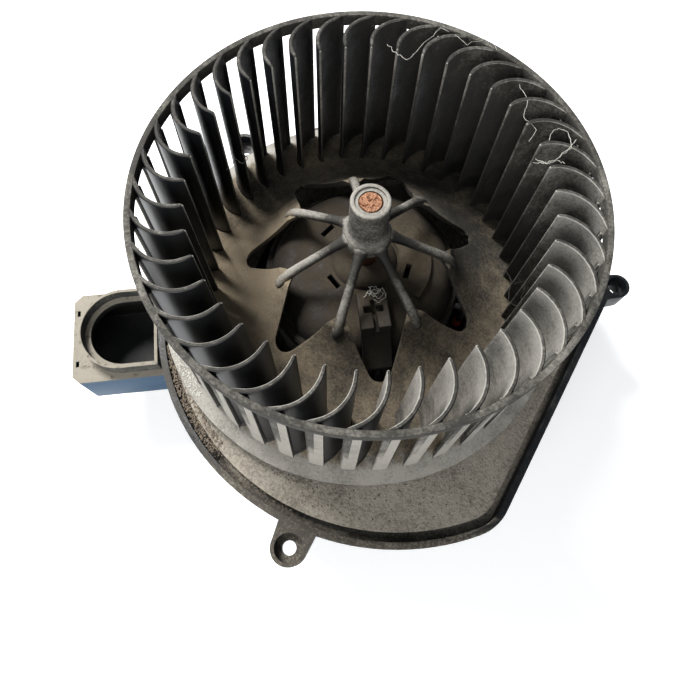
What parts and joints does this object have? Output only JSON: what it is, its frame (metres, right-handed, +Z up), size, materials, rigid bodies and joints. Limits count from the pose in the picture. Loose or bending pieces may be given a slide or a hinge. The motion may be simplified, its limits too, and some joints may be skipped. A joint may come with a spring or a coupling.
{
  "type": "car_cabin_blower_motor",
  "caption": "Car cabin blower: caged centrifugal fan wheel on a D-shaped mounting plate, small DC motor in the plate's pot, cooling-air duct with a D-shaped collar at one side.",
  "frame": {"origin": "on the fan axis, in the flat underside of the base cover on which the blower stands", "axes": "+Z up along the fan axis away from the base, +X square to the mounting plate's straight edge and pointing out through it, +Y along that edge"},
  "size_m": [0.2008, 0.2055, 0.1242],
  "materials": {
    "fan_plastic": "dusty black polypropylene",
    "plate_plastic": "dusty black talc-filled polypropylene",
    "duct_plastic": "dusty black polypropylene",
    "guide_plastic": "moulded nylon",
    "card_plastic": "brown phenolic",
    "shaft_steel": "ground steel, rusty at its end",
    "lamination_steel": "punched laminations",
    "can_steel": "zinc-plated deep-drawn steel",
    "bell_steel": "dusty dark grey cap",
    "spring_steel": "spring strip",
    "screw_steel": "zinc-plated",
    "winding_copper": "enamelled copper",
    "terminal_brass": "stamped brass",
    "bearing_bronze": "oil-soaked sintered bronze",
    "magnet_ferrite": "ground ferrite",
    "brush_carbon": "pressed carbon",
    "oil_felt": "oiled felt",
    "mount_rubber": "soft black rubber",
    "lead_orange": "orange-red insulation",
    "lead_black": "black insulation"
  },
  "bodies": {
    "housing": {"mounting_plate": "plate_plastic", "base_cover": "plate_plastic", "cover_screws": "screw_steel", "duct_box": "duct_plastic", "duct_cover": "duct_plastic", "motor_can": "can_steel", "upper_end_bell": "bell_steel", "magnet_a": "magnet_ferrite", "magnet_b": "magnet_ferrite", "magnet_clip_a": "spring_steel", "magnet_clip_b": "spring_steel", "upper_bearing": "bearing_bronze", "lower_bearing": "bearing_bronze", "upper_felt": "oil_felt", "lower_felt": "oil_felt", "upper_retainer": "spring_steel", "lower_retainer": "spring_steel", "brush_card": "card_plastic", "brush_a": "brush_carbon", "brush_b": "brush_carbon", "brush_spring_a": "spring_steel", "brush_spring_b": "spring_steel", "choke_a": "winding_copper", "choke_b": "winding_copper", "rubber_mount_a": "mount_rubber", "rubber_mount_b": "mount_rubber", "rubber_mount_c": "mount_rubber", "lead_guide": "guide_plastic", "lead_positive": "lead_black", "lead_sleeve": "lead_orange", "lead_negative": "lead_black", "connector_socket": "guide_plastic", "terminal_a": "terminal_brass", "terminal_b": "terminal_brass"},
    "rotor": {"fan_wheel": "fan_plastic", "motor_shaft": "shaft_steel", "armature_core": "lamination_steel", "armature_windings": "winding_copper", "commutator": "winding_copper", "thrust_collar_upper": "guide_plastic", "thrust_collar_lower": "guide_plastic"}
  },
  "joints": [
    {"name": "fan_spin", "type": "hinge", "parent": "housing", "child": "rotor", "pos_m": [0, 0, 0.0625], "axis": [0, 0, 1], "continuous": true}
  ]
}
